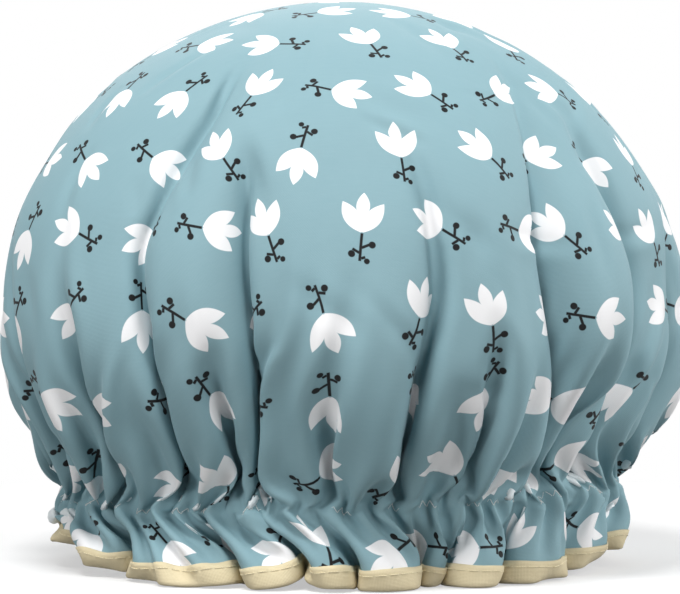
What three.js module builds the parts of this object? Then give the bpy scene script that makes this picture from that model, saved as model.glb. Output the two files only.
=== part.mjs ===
// A gathered shower cap: a printed cover and a waterproof liner, both cut as flat circles, are drawn in by
// a sewn elastic band above a frill, and a folded binding runs round the hem.
// Millimetres, +Z up, front towards -Y. The cap stands filled out, with its hem on z = 0.
import * as THREE from "three";

// Shape of the filled cap, measured across the ridges of the folds
const crownDiameter = 236; // at the fullest level
const crownRise = 117.5; // fullest level up to the top
const crownDrop = 50; // fullest level down to the upper edge of the elastic
const gatherDiameter = 196; // cover at the elastic
const frillDrop = 9.5; // lower edge of the elastic down to the upper edge of the binding
const hemDiameter = 203; // cover at the hem
const domeFullness = 0.87; // 1 is a plain dome, less is fuller at the shoulders
const bellyTaper = 1.5; // 1 is a plain swell below the fullest level, more is drawn in sooner

// Valleys between the ridges. Depths are those of a fold with a share of 1.
const crownDepth = 11; // at the fullest level
const bellyDepth = 14; // just above the elastic
const gatherDepth = 6; // pinched in by the elastic, in every fold
const frillDepth = 16; // at the hem
const crownValley = 8; // half the width of a valley in the crown
const gatherValley = 5;
const frillValley = 6.5;
const valleyRoom = 0.32; // most of the way to the next fold that half a valley takes
const steepest = 1.9; // most depth of a valley for its half width
const foldGrowth = 40; // degrees down from the top in which a fold grows to its depth

// Folds from the left over the front, the right side and the back. start is the angle down from the top at
// which a fold begins. The next four are its directions, in degrees from the front towards the right, in the
// upper crown, at the fullest level, at the elastic and at the hem. crown and frill are shares of the depths.
const folds = [
  { start: 62, upper: -83, fullest: -81, gather: -80, hem: -86, crown: 0.75, frill: 0.75 },
  { start: 73, upper: -67, fullest: -63, gather: -63, hem: -66, crown: 0.7, frill: 0.7 },
  { start: 80, upper: -49, fullest: -46, gather: -43, hem: -46, crown: 0.8, frill: 1 },
  { start: 31, upper: -31, fullest: -37, gather: -28, hem: -20, crown: 1, frill: 0.85 },
  { start: 56, upper: -15.5, fullest: -13.5, gather: -11.5, hem: -6.5, crown: 1.3, frill: 0.95 },
  { start: 88, upper: -5, fullest: -4, gather: 0.5, hem: 4.2, crown: 0.7, frill: 0.65 },
  { start: 49, upper: 14, fullest: 16, gather: 14.5, hem: 15.2, crown: 0.85, frill: 1.05 },
  { start: 83, upper: 22.5, fullest: 23, gather: 24.5, hem: 22, crown: 0.6, frill: 0.85 },
  { start: 29, upper: 41, fullest: 36, gather: 37, hem: 33, crown: 1.1, frill: 0.8 },
  { start: 46, upper: 57, fullest: 60, gather: 54.5, hem: 51, crown: 1.2, frill: 0.95 },
  { start: 67, upper: 76, fullest: 75, gather: 70, hem: 69, crown: 0.75, frill: 0.75 },
  { start: 54, upper: 99, fullest: 100, gather: 92, hem: 88, crown: 0.8, frill: 0.75 },
  { start: 83, upper: 118, fullest: 116, gather: 107.5, hem: 101, crown: 0.7, frill: 0.95 },
  { start: 35, upper: 130, fullest: 131, gather: 122, hem: 118, crown: 0.95, frill: 0.75 },
  { start: 88, upper: 142, fullest: 143, gather: 137.5, hem: 130, crown: 0.7, frill: 0.95 },
  { start: 48, upper: 161, fullest: 158, gather: 154.5, hem: 152, crown: 0.95, frill: 0.85 },
  { start: 85, upper: 175.5, fullest: 175, gather: 170, hem: 167, crown: 0.7, frill: 1 },
  { start: 32, upper: 192, fullest: 190, gather: 185, hem: 184, crown: 0.95, frill: 0.8 },
  { start: 73, upper: 206.5, fullest: 207, gather: 202.5, hem: 200, crown: 0.7, frill: 0.95 },
  { start: 50, upper: 219, fullest: 222, gather: 219.5, hem: 217, crown: 0.95, frill: 0.8 },
  { start: 83, upper: 239, fullest: 238, gather: 238, hem: 235, crown: 0.7, frill: 0.95 },
  { start: 44, upper: 253, fullest: 255, gather: 256, hem: 255, crown: 0.95, frill: 0.85 },
];

// Cloth, film, tape and thread
const fabricThickness = 0.4;
const filmThickness = 0.25;
const elasticWidth = 7;
const elasticThickness = 1;
const elasticLap = 18; // length over which the two ends of the elastic lie on each other
const bindingWidth = 7;
const bindingThickness = 0.6; // one side of the folded tape
const threadDiameter = 0.4;
const zigzagMargin = 1.5; // edge of the elastic to the turns of the gathering stitch
const bindingStitchInset = 1.6; // upper edge of the binding to its stitch line
const clearance = 0.3; // between pieces that lie on each other

// Values that follow from the sizes above
const threadSides = 5;
const threadRadius = threadDiameter / 2;
const linerFace = fabricThickness + clearance;
const clothStack = linerFace + filmThickness;
const hemEdge = bindingThickness + clearance;
const gatherBottom = bindingWidth + frillDrop;
const gatherTop = gatherBottom + elasticWidth;
const gatherMiddle = (gatherBottom + gatherTop) / 2;
const fullestLevel = gatherTop + crownDrop;
const fullestRadius = crownDiameter / 2;
const gatherRadius = gatherDiameter / 2;
const fullTurn = 2 * Math.PI;
const columnsInFold = 3;
const columns = Array.from({ length: folds.length * columnsInFold }, (unused, i) => i);

// A level is one ring of the cloth. It has each fold's direction between two of the folds' named ones, the
// depth of each valley and half its width. A coarse level has one point for each fold, on the valley's line.
// An upright level has the cloth standing straight.
function domeLevel(share, coarse) {
  const polar = share * 90;
  const down = THREE.MathUtils.degToRad(polar);
  return {
    radius: fullestRadius * Math.sin(down),
    z: fullestLevel + crownRise * Math.cos(down) ** domeFullness,
    between: ["upper", "fullest", THREE.MathUtils.smoothstep(share, 0.8, 1)],
    depth: (fold) => crownDepth * fold.crown * foldGrown(fold, polar),
    valley: crownValley,
    coarse,
  };
}

function bellyLevel(share) {
  const swell = Math.cos((share * Math.PI) / 2) ** bellyTaper;
  return {
    radius: gatherRadius + (fullestRadius - gatherRadius) * swell,
    z: fullestLevel - crownDrop * share,
    between: ["fullest", "gather", share],
    depth: (fold) => fold.crown * THREE.MathUtils.lerp(crownDepth * foldGrown(fold, 90), bellyDepth, share),
    valley: THREE.MathUtils.lerp(crownValley, gatherValley, share),
  };
}

function gatherLevel(z) {
  return {
    radius: gatherRadius,
    z,
    between: ["gather", "hem", 0],
    depth: () => gatherDepth,
    valley: gatherValley,
    upright: true,
  };
}

function frillLevel(z) {
  return {
    radius: hemDiameter / 2,
    z,
    between: ["gather", "hem", 1],
    depth: (fold) => frillDepth * fold.frill,
    valley: frillValley,
    upright: true,
  };
}

// Share of its depth that a fold has reached at an angle down from the top
function foldGrown(fold, polar) {
  return THREE.MathUtils.smoothstep(polar, fold.start - 5, fold.start - 5 + foldGrowth);
}

const levels = [
  domeLevel(0.2, true),
  domeLevel(0.4, true),
  domeLevel(0.6, true),
  domeLevel(0.8, false),
  domeLevel(1, false),
  bellyLevel(0.4),
  bellyLevel(0.8),
  gatherLevel(gatherTop),
  gatherLevel(gatherBottom),
  frillLevel(bindingWidth),
  frillLevel(hemEdge),
];
const hem = levels.length - 1;
const bindingTop = hem - 1;
const lowerGather = bindingTop - 1;
const upperGather = lowerGather - 1;

// Points of one level: before each valley, in it and after it, as directions and radii
function levelPoints(level) {
  const [from, to, share] = level.between;
  const directions = folds.map((fold) => THREE.MathUtils.lerp(fold[from], fold[to], share));
  return folds.flatMap((fold, i) => {
    const last = folds.length - 1;
    const before = i === 0 ? directions[last] - 360 : directions[i - 1];
    const after = i === last ? directions[0] + 360 : directions[i + 1];
    const most = THREE.MathUtils.radToDeg(level.valley / level.radius);
    const left = Math.min(most, valleyRoom * (directions[i] - before));
    const right = Math.min(most, valleyRoom * (after - directions[i]));
    const halfWidth = THREE.MathUtils.degToRad((left + right) / 2) * level.radius;
    const bottom = level.radius - Math.min(level.depth(fold), steepest * halfWidth);
    const valley = { direction: directions[i], radius: bottom };
    if (level.coarse) {
      return [valley];
    }
    return [
      { direction: directions[i] - left, radius: level.radius },
      valley,
      { direction: directions[i] + right, radius: level.radius },
    ];
  });
}

// Outer face of the cover: rings of points from the top down, and the triangles between them
function clothGrid() {
  const points = [new THREE.Vector3(0, 0, fullestLevel + crownRise)];
  const rings = levels.map((level) =>
    levelPoints(level).map(({ direction, radius }) => {
      const turn = THREE.MathUtils.degToRad(direction);
      points.push(new THREE.Vector3(Math.sin(turn) * radius, -Math.cos(turn) * radius, level.z));
      return points.length - 1;
    })
  );
  const triangles = rings[0].map((point, i) => [0, point, rings[0][(i + 1) % rings[0].length]]);
  for (let k = 1; k < rings.length; k += 1) {
    triangles.push(...joinRings(rings[k - 1], rings[k]));
  }
  return { points, rings, triangles };
}

// The lower ring has as many points as the upper one, or three for each of them
function joinRings(upper, lower) {
  const ratio = lower.length / upper.length;
  return upper.flatMap((point, i) => {
    const nextPoint = upper[(i + 1) % upper.length];
    const below = Array.from({ length: ratio + 1 }, (unused, j) => lower[(i * ratio + j) % lower.length]);
    const fan = below.slice(1, ratio).map((next, j) => [point, below[j], next]);
    return [...fan, [point, below[ratio - 1], nextPoint], [nextPoint, below[ratio - 1], below[ratio]]];
  });
}

const grid = clothGrid();

// How far each point of the grid moves for one millimetre of layer thickness. It is lengthened at folds,
// so that the faces on both sides keep the full thickness.
function layerSteps() {
  const normals = grid.points.map(() => []);
  grid.triangles.forEach(([a, b, c]) => {
    const edge = grid.points[b].clone().sub(grid.points[a]);
    const normal = edge.cross(grid.points[c].clone().sub(grid.points[a])).normalize();
    [a, b, c].forEach((point) => normals[point].push(normal));
  });
  levels.forEach((level, k) => {
    if (level.upright) {
      grid.rings[k].forEach((point, i, ring) => {
        const before = grid.points[ring[(i + ring.length - 1) % ring.length]];
        const after = grid.points[ring[(i + 1) % ring.length]];
        normals[point] = [sideNormal(before, grid.points[point]), sideNormal(grid.points[point], after)];
      });
    }
  });
  return normals.map((around) => {
    const mean = around.reduce((sum, normal) => sum.add(normal), new THREE.Vector3()).normalize();
    const least = Math.min(...around.map((normal) => normal.dot(mean)));
    return mean.divideScalar(least);
  });
}

function sideNormal(from, to) {
  return new THREE.Vector3(to.y - from.y, from.x - to.x, 0).normalize();
}

const steps = layerSteps();

function layerPoint(point, lift) {
  return grid.points[point].clone().addScaledVector(steps[point], lift);
}

function ringPoint(level, column, lift) {
  return layerPoint(grid.rings[level][column], lift);
}

// Mesh from points and triangles, turned so that its faces point out
function piece(name, points, triangles, look) {
  const volume = triangles.reduce(
    (sum, [a, b, c]) => sum + points[a].dot(points[b].clone().cross(points[c])), 0
  );
  const faces = volume > 0 ? triangles : triangles.map(([a, b, c]) => [a, c, b]);
  const geometry = new THREE.BufferGeometry();
  geometry.setFromPoints(points);
  geometry.setIndex(faces.flat());
  geometry.computeVertexNormals();
  const mesh = new THREE.Mesh(geometry, new THREE.MeshStandardMaterial({ metalness: 0, ...look }));
  mesh.name = name;
  return mesh;
}

// One cloth layer between two lifts of the grid, closed along the hem
function clothLayer(name, outerLift, innerLift, look) {
  const count = grid.points.length;
  const outer = grid.points.map((point, i) => layerPoint(i, outerLift));
  const inner = grid.points.map((point, i) => layerPoint(i, innerLift));
  const innerFaces = grid.triangles.map(([a, b, c]) => [a + count, c + count, b + count]);
  const edge = grid.rings[hem];
  const edgeFaces = edge.flatMap((point, i) => {
    const next = edge[(i + 1) % edge.length];
    return [[next, point, point + count], [next, point + count, next + count]];
  });
  return piece(name, [...outer, ...inner], [...grid.triangles, ...innerFaces, ...edgeFaces], look);
}

// Solid swept through a row of sections with equal point counts, as a closed loop or with flat ends
function sweep(name, sections, closed, look) {
  const size = sections[0].length;
  const spans = closed ? sections.length : sections.length - 1;
  const triangles = [];
  for (let i = 0; i < spans; i += 1) {
    const here = i * size;
    const there = ((i + 1) % sections.length) * size;
    for (let j = 0; j < size; j += 1) {
      const next = (j + 1) % size;
      triangles.push([here + j, there + j, there + next], [here + j, there + next, here + next]);
    }
  }
  if (!closed) {
    const last = (sections.length - 1) * size;
    for (let j = 1; j < size - 1; j += 1) {
      triangles.push([0, j, j + 1], [last, last + j + 1, last + j]);
    }
  }
  return piece(name, sections.flat(), triangles, look);
}

// Round thread through the centre points, with sections square to its path
function thread(name, path, closed, look) {
  const sections = path.map((point, i) => {
    const before = path[closed ? (i + path.length - 1) % path.length : Math.max(i - 1, 0)];
    const after = path[closed ? (i + 1) % path.length : Math.min(i + 1, path.length - 1)];
    const along = after.clone().sub(before).normalize();
    const side = new THREE.Vector3(0, 0, 1).cross(along).normalize();
    const up = along.clone().cross(side);
    return Array.from({ length: threadSides }, (unused, j) => {
      const turn = (j / threadSides) * fullTurn;
      return point
        .clone()
        .addScaledVector(side, Math.cos(turn) * threadRadius)
        .addScaledVector(up, Math.sin(turn) * threadRadius);
    });
  });
  return sweep(name, sections, closed, look);
}

// Stitch line on the cloth between two levels, at a share of the way down for each column
function stitchPath(upper, lower, lift, shareAt) {
  return columns.map((i) => ringPoint(upper, i, lift).lerp(ringPoint(lower, i, lift), shareAt(i)));
}

const fabricLook = { color: 0x8fb3bb, roughness: 0.75 };
const filmLook = { color: 0xdfe6e8, roughness: 0.4 };
const elasticLook = { color: 0xe9e7e0, roughness: 0.85 };
const bindingLook = { color: 0xe6d9ae, roughness: 0.6 };
const threadLook = { color: 0xf1efe8, roughness: 0.7 };

// Elastic: a strip laid round inside the liner's valleys, from the back, with its end lapped over its start
const valleyRadius = Math.min(
  ...[upperGather, lowerGather].flatMap((level) =>
    columns.map((i) => {
      const seat = ringPoint(level, i, -clothStack);
      return Math.hypot(seat.x, seat.y);
    })
  )
);
const elasticOuter = valleyRadius - clearance;
const lapAngle = elasticLap / elasticOuter;
const lapStep = elasticThickness + clearance;
const elasticStart = Math.PI / 2;
const elasticSteps = columns.length;
const stripTurn = fullTurn + lapAngle;

// Share of the lap's step inwards that the strip has made at an angle from its start
function lapShare(angle) {
  return THREE.MathUtils.smoothstep(angle, fullTurn - lapAngle, fullTurn);
}

function polarPoint(angle, radius, z) {
  const turn = elasticStart + angle;
  return new THREE.Vector3(Math.cos(turn) * radius, Math.sin(turn) * radius, z);
}

function elasticInner(angle) {
  return elasticOuter - elasticThickness - lapStep * lapShare(angle);
}

function elasticBand() {
  const sections = Array.from({ length: elasticSteps + 1 }, (unused, i) => {
    const angle = (i / elasticSteps) * stripTurn;
    const inner = elasticInner(angle);
    const outer = inner + elasticThickness;
    return [
      polarPoint(angle, inner, gatherBottom),
      polarPoint(angle, outer, gatherBottom),
      polarPoint(angle, outer, gatherTop),
      polarPoint(angle, inner, gatherTop),
    ];
  });
  return sweep("elastic_band", sections, false, elasticLook);
}

// Gathering seam: zigzag needle thread on the cover, bobbin thread on the elastic
const zigzagReach = elasticWidth / 2 - zigzagMargin;

function zigzagShare(i) {
  return 0.5 + ((i % 2 === 0 ? 1 : -1) * zigzagReach) / elasticWidth;
}

function gatheringNeedleThread() {
  const path = stitchPath(upperGather, lowerGather, clearance + threadRadius, zigzagShare);
  return thread("gathering_needle_thread", path, true, threadLook);
}

// The bobbin thread starts beside the lapped end and passes over the stitches of the join
function gatheringBobbinThread() {
  const endMargin = threadDiameter / elasticOuter;
  const from = lapAngle + 2 * endMargin;
  const to = stripTurn - endMargin;
  const joinStep = threadDiameter + clearance;
  const path = Array.from({ length: columns.length }, (unused, i) => {
    const angle = THREE.MathUtils.lerp(from, to, i / (columns.length - 1));
    const radius = elasticInner(angle) - clearance - threadRadius - joinStep * lapShare(angle);
    return polarPoint(angle, radius, gatherTop - elasticWidth * zigzagShare(i));
  });
  return thread("gathering_bobbin_thread", path, false, threadLook);
}

// Zigzag that holds the two lapped ends of the elastic together
function elasticJoinStitches() {
  const turns = 8;
  const from = fullTurn + lapAngle * 0.2;
  const to = fullTurn + lapAngle * 0.8;
  const path = Array.from({ length: turns + 1 }, (unused, i) => {
    const angle = THREE.MathUtils.lerp(from, to, i / turns);
    const radius = elasticInner(angle) - clearance - threadRadius;
    return polarPoint(angle, radius, gatherMiddle + (i % 2 === 0 ? 1 : -1) * zigzagReach);
  });
  return thread("elastic_join_stitches", path, false, threadLook);
}

// Binding: tape folded round the hem of both layers, standing flat on its fold
function hemBinding() {
  const outside = clearance + bindingThickness;
  const inside = -clothStack - clearance;
  const sections = columns.map((i) => {
    const foot = (lift, z) => ringPoint(hem, i, lift).setZ(z);
    return [
      ringPoint(bindingTop, i, outside),
      foot(outside, 0),
      foot(inside - bindingThickness, 0),
      ringPoint(bindingTop, i, inside - bindingThickness),
      ringPoint(bindingTop, i, inside),
      foot(inside, bindingThickness),
      foot(clearance, bindingThickness),
      ringPoint(bindingTop, i, clearance),
    ];
  });
  return sweep("hem_binding", sections, true, bindingLook);
}

// Straight seam through the binding: needle thread outside, bobbin thread inside
function bindingSeam(name, lift) {
  const share = bindingStitchInset / (bindingWidth - hemEdge);
  return thread(name, stitchPath(bindingTop, hem, lift, () => share), true, threadLook);
}

const bindingFace = clearance + bindingThickness + clearance + threadRadius;

const cap = new THREE.Group();
cap.add(
  clothLayer("outer_cover", 0, -fabricThickness, fabricLook),
  clothLayer("waterproof_liner", -linerFace, -clothStack, filmLook),
  elasticBand(),
  gatheringNeedleThread(),
  gatheringBobbinThread(),
  elasticJoinStitches(),
  hemBinding(),
  bindingSeam("binding_needle_thread", bindingFace),
  bindingSeam("binding_bobbin_thread", -clothStack - bindingFace)
);

export default cap;
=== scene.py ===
import math

import bpy
import numpy as np
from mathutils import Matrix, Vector


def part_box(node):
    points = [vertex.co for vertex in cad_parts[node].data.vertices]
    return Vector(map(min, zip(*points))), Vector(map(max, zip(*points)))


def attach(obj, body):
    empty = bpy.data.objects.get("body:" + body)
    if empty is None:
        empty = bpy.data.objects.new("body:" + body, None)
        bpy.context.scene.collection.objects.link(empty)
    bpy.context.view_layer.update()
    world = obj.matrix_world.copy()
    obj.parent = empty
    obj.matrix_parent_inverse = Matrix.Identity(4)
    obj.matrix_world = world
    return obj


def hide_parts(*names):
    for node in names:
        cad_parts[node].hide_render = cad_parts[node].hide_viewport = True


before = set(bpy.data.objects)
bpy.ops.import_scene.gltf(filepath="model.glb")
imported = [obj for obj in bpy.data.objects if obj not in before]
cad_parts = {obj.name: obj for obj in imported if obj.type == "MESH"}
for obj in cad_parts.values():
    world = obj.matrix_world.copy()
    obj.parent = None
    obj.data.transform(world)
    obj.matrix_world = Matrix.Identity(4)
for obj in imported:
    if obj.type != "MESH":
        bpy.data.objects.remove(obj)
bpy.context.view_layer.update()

# Lengths are worked out in millimetres and turned into metres when a mesh is made.
mm = 0.001
fullTurn = 2 * math.pi

capShape = dict(
    fullestHeight=73.5,  # level at which the crown is widest
    gatherRadius=97.5,
    hemRadius=106.0,
    hemPinch=8.5,  # how much nearer to the middle the hem is at the sides
    hemHeight=1.0,  # lower edge of the cloth, inside the binding
    gatherLift=5.0,  # how far the gather has slipped up
    gatherTilt=2.8,  # what the right side adds to that, and the left side takes off it
    fullness=0.8,  # share of the folds' mean depth that the crown makes up for between them
    shoulder=2.2,  # how much fuller than a plain dome the upper crown is
    bellyPower=0.82,  # the lower this is, the fuller the lower crown
    elasticReach=4.2,  # how far above and below the gather the cloth can touch the elastic
    elasticRoom=1.4,  # least distance of the cover from the elastic
    crownStep=3.0,  # rows of the cloth, measured along it
    frillStep=2.3,
    columns=384,
)

# Main folds of the crown. The angles are from the front, towards the right, at the fold's upper end,
# halfway down and at the gather. start is where the fold begins, measured along the cloth from the top,
# and grow the length in which it gets deep. A lip above 0 lets the cloth on the right of the fold hang
# over it, one below 0 the cloth on the left.
crownFolds = [
    dict(angles=(-84, -81, -76), start=128, grow=40, depth=13, width=8, lip=2),
    dict(angles=(-70, -63, -58), start=150, grow=50, depth=13, width=6, lip=3),
    dict(angles=(-50, -46, -42), start=165, grow=45, depth=14, width=6, lip=3),
    dict(angles=(-22, -36, -31), start=64, grow=60, depth=15, width=5.5, lip=-3),
    dict(angles=(-24, -22, -22), start=178, grow=40, depth=13, width=6, lip=-3),
    dict(angles=(-17, -13.5, -14), start=116, grow=30, depth=18, width=5, lip=4),
    dict(angles=(-6, -4, -2), start=182, grow=45, depth=13, width=8, lip=-2),
    dict(angles=(12, 16, 11), start=100, grow=60, depth=13, width=5, lip=2),
    dict(angles=(22, 23, 21), start=176, grow=45, depth=10, width=5, lip=-3),
    dict(angles=(47, 36, 37), start=60, grow=100, depth=18, width=5, lip=-3),
    dict(angles=(46, 45, 44), start=186, grow=35, depth=14, width=5, lip=3),
    dict(angles=(55, 60, 55), start=94, grow=50, depth=18, width=6, lip=4),
    dict(angles=(78, 75, 70), start=138, grow=40, depth=13, width=7, lip=-2),
    dict(angles=(98, 100, 96), start=112, grow=60, depth=13, width=7, lip=3),
    dict(angles=(120, 116, 111), start=170, grow=50, depth=12, width=7, lip=-2),
    dict(angles=(128, 131, 125), start=72, grow=70, depth=15, width=6, lip=3),
    dict(angles=(140, 143, 142), start=180, grow=40, depth=12, width=6, lip=2),
    dict(angles=(165, 158, 158), start=98, grow=60, depth=15, width=6, lip=-4),
    dict(angles=(176, 175, 172), start=176, grow=45, depth=12, width=6, lip=2),
    dict(angles=(196, 190, 187), start=66, grow=70, depth=15, width=6, lip=3),
    dict(angles=(206, 207, 204), start=150, grow=50, depth=12, width=6, lip=-2),
    dict(angles=(215, 222, 222), start=102, grow=55, depth=15, width=6, lip=3),
    dict(angles=(240, 238, 240), start=172, grow=45, depth=12, width=7, lip=-2),
    dict(angles=(250, 255, 257), start=90, grow=60, depth=15, width=7, lip=3),
]

# Places where the crown lies lower, or stands out if the last number is above 0: angle, half width in
# degrees, the lengths from the top at which that begins, is full, starts to fade and ends, and the height
puffs = [
    (-90, 30, (100, 124, 150, 185), -1.5), (84, 26, (96, 116, 150, 185), -0.9),
    (4, 12, (100, 130, 215, 240), -2.2), (152, 18, (110, 132, 180, 220), -1.2),
    (205, 15, (110, 130, 190, 230), -1.6), (122, 12, (130, 150, 175, 200), -1.0),
    (84, 34, (178, 212, 234, 243), -7.0), (-84, 34, (182, 216, 234, 243), -7.0),
]

# Valleys of the frill: angle at the gather, angle at the hem, depth at the hem, half width there, and the
# lip of the lobe that hangs over it as in the crown's folds
frillFolds = [
    (-88, -86, 14, 6, 2), (-70, -66, 13, 5, -3), (-43, -46, 21, 6, 4), (-24, -20, 17, 4, -5),
    (-8, -6.5, 19, 7, 2), (3, 4.2, 13, 3, 3), (19, 15.2, 22, 5, -3), (29, 22, 18, 4, 5),
    (38, 33, 16, 4, 4), (53, 51, 19, 5, -4), (70, 69, 15, 5, 3), (86, 88, 15, 6, 2),
    (103, 101, 19, 5, -3), (118, 118, 15, 5, 4), (131, 130, 19, 6, 3), (150, 152, 17, 5, -4),
    (168, 167, 20, 6, 3), (183, 184, 16, 4, 4), (201, 200, 19, 6, -4), (216, 217, 16, 5, 3),
    (236, 235, 19, 6, 4), (254, 255, 17, 5, -3),
]

# Places where the hem hangs higher: angle, half width in degrees, height
hemLifts = [(-80, 24, 9.0), (80, 22, 6.5), (-6.5, 4, 4.0), (150, 18, 3.0), (216, 12, 3.5)]

foldPlan = dict(
    deep=(1.2, 0.35),  # times a crown fold's depth, and what the lower crown adds to that
    lip=(1.4, 0.9),  # the same for its lip
    lower=(150, 215),  # from the top, where the crown turns into the lower crown
    pinch=(11, 1),  # above the gather, where the folds run out
    broad=0.22,  # share of a crown fold that is a broad hollow
    frillBroad=0.15,
    waveSeed=3,
    waves=(46, 100, 6),  # small waves round the gather: fewest, limit and step
    waveDepth=0.6,
    waveRise=0.42,
)

tuckPlan = dict(
    count=88, seed=11, reaches=(12, 19, 34, 62), shares=(0.28, 0.3, 0.26, 0.16), depth=(3.6, 5.8),
    deeper=0.05,  # added depth for each millimetre of reach
    width=(1.9, 3.1))

bandLow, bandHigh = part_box("elastic_band")
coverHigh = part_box("outer_cover")[1]
gatherHeight = (bandLow[2] + bandHigh[2]) / 2 / mm + capShape["gatherLift"]
elasticRadius = bandHigh[0] / mm
fullestRadius = coverHigh[0] / mm
topHeight = coverHigh[2] / mm


def smoothStep(x, low, high):
    t = np.clip((x - low) / (high - low), 0.0, 1.0)
    return t * t * (3 - 2 * t)


def capOutline():
    # Half of the cap's outline without folds, as radius and height, and the length along it
    shape = capShape
    q = np.linspace(0, math.pi / 2, 241)
    rise = topHeight - shape["fullestHeight"]
    dome = np.stack([fullestRadius * np.sin(q), shape["fullestHeight"] + rise * np.cos(q)], 1)
    t = np.linspace(0, 1, 121)[1:]
    bulge = fullestRadius - shape["gatherRadius"]
    belly = np.stack([shape["gatherRadius"] + bulge * np.cos(t * math.pi / 2) ** shape["bellyPower"],
                      shape["fullestHeight"] + (gatherHeight - shape["fullestHeight"]) * t], 1)
    flare = shape["hemRadius"] - shape["gatherRadius"]
    frill = np.stack([shape["gatherRadius"] + flare * np.sin(t * math.pi / 2),
                      gatherHeight + (shape["hemHeight"] - gatherHeight) * t], 1)
    path = np.vstack([dome, belly, frill])
    run = np.concatenate([[0], np.cumsum(np.linalg.norm(np.diff(path, axis=0), axis=1))])
    return path, run, run[len(dome) + len(belly) - 1]


outline, outlineRun, gatherRun = capOutline()
hemRun = outlineRun[-1]
flatDiameter = 2 * hemRun


def apart(a, b):
    return (a - b + 180.0) % 360.0 - 180.0


def crease(offset, width, broad=0.0):
    # A narrow slot, partly in a broad hollow, so the cloth between two folds is arched
    u = offset / width
    return (1 - broad) * np.exp(0.24 - 1.4 * np.sqrt(u * u + 0.03)) + broad * np.exp(-(u / 2.8) ** 2)


def gatherTucks():
    # Short tucks that the elastic draws into the cloth just above the gather
    plan = tuckPlan
    rng = np.random.default_rng(plan["seed"])
    made = []
    for i in range(plan["count"]):
        reach = rng.choice(plan["reaches"], p=plan["shares"]) * rng.uniform(0.85, 1.15)
        made.append(dict(
            angle=(i + rng.uniform(-0.3, 0.3)) * 360.0 / plan["count"], reach=reach,
            depth=rng.uniform(*plan["depth"]) + plan["deeper"] * reach, width=rng.uniform(*plan["width"]),
            lean=rng.uniform(-0.1, 0.1), phase=rng.uniform(0, fullTurn)))
    return made


tucks = gatherTucks()


def gatherRise(x):
    return capShape["gatherTilt"] * x / capShape["gatherRadius"]


def tiltAt(x, s):
    fade = np.exp(-((s - gatherRun) / 55.0) ** 2) if s < gatherRun else 1 - smoothStep(s, gatherRun, hemRun)
    return fade * gatherRise(x)


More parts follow.
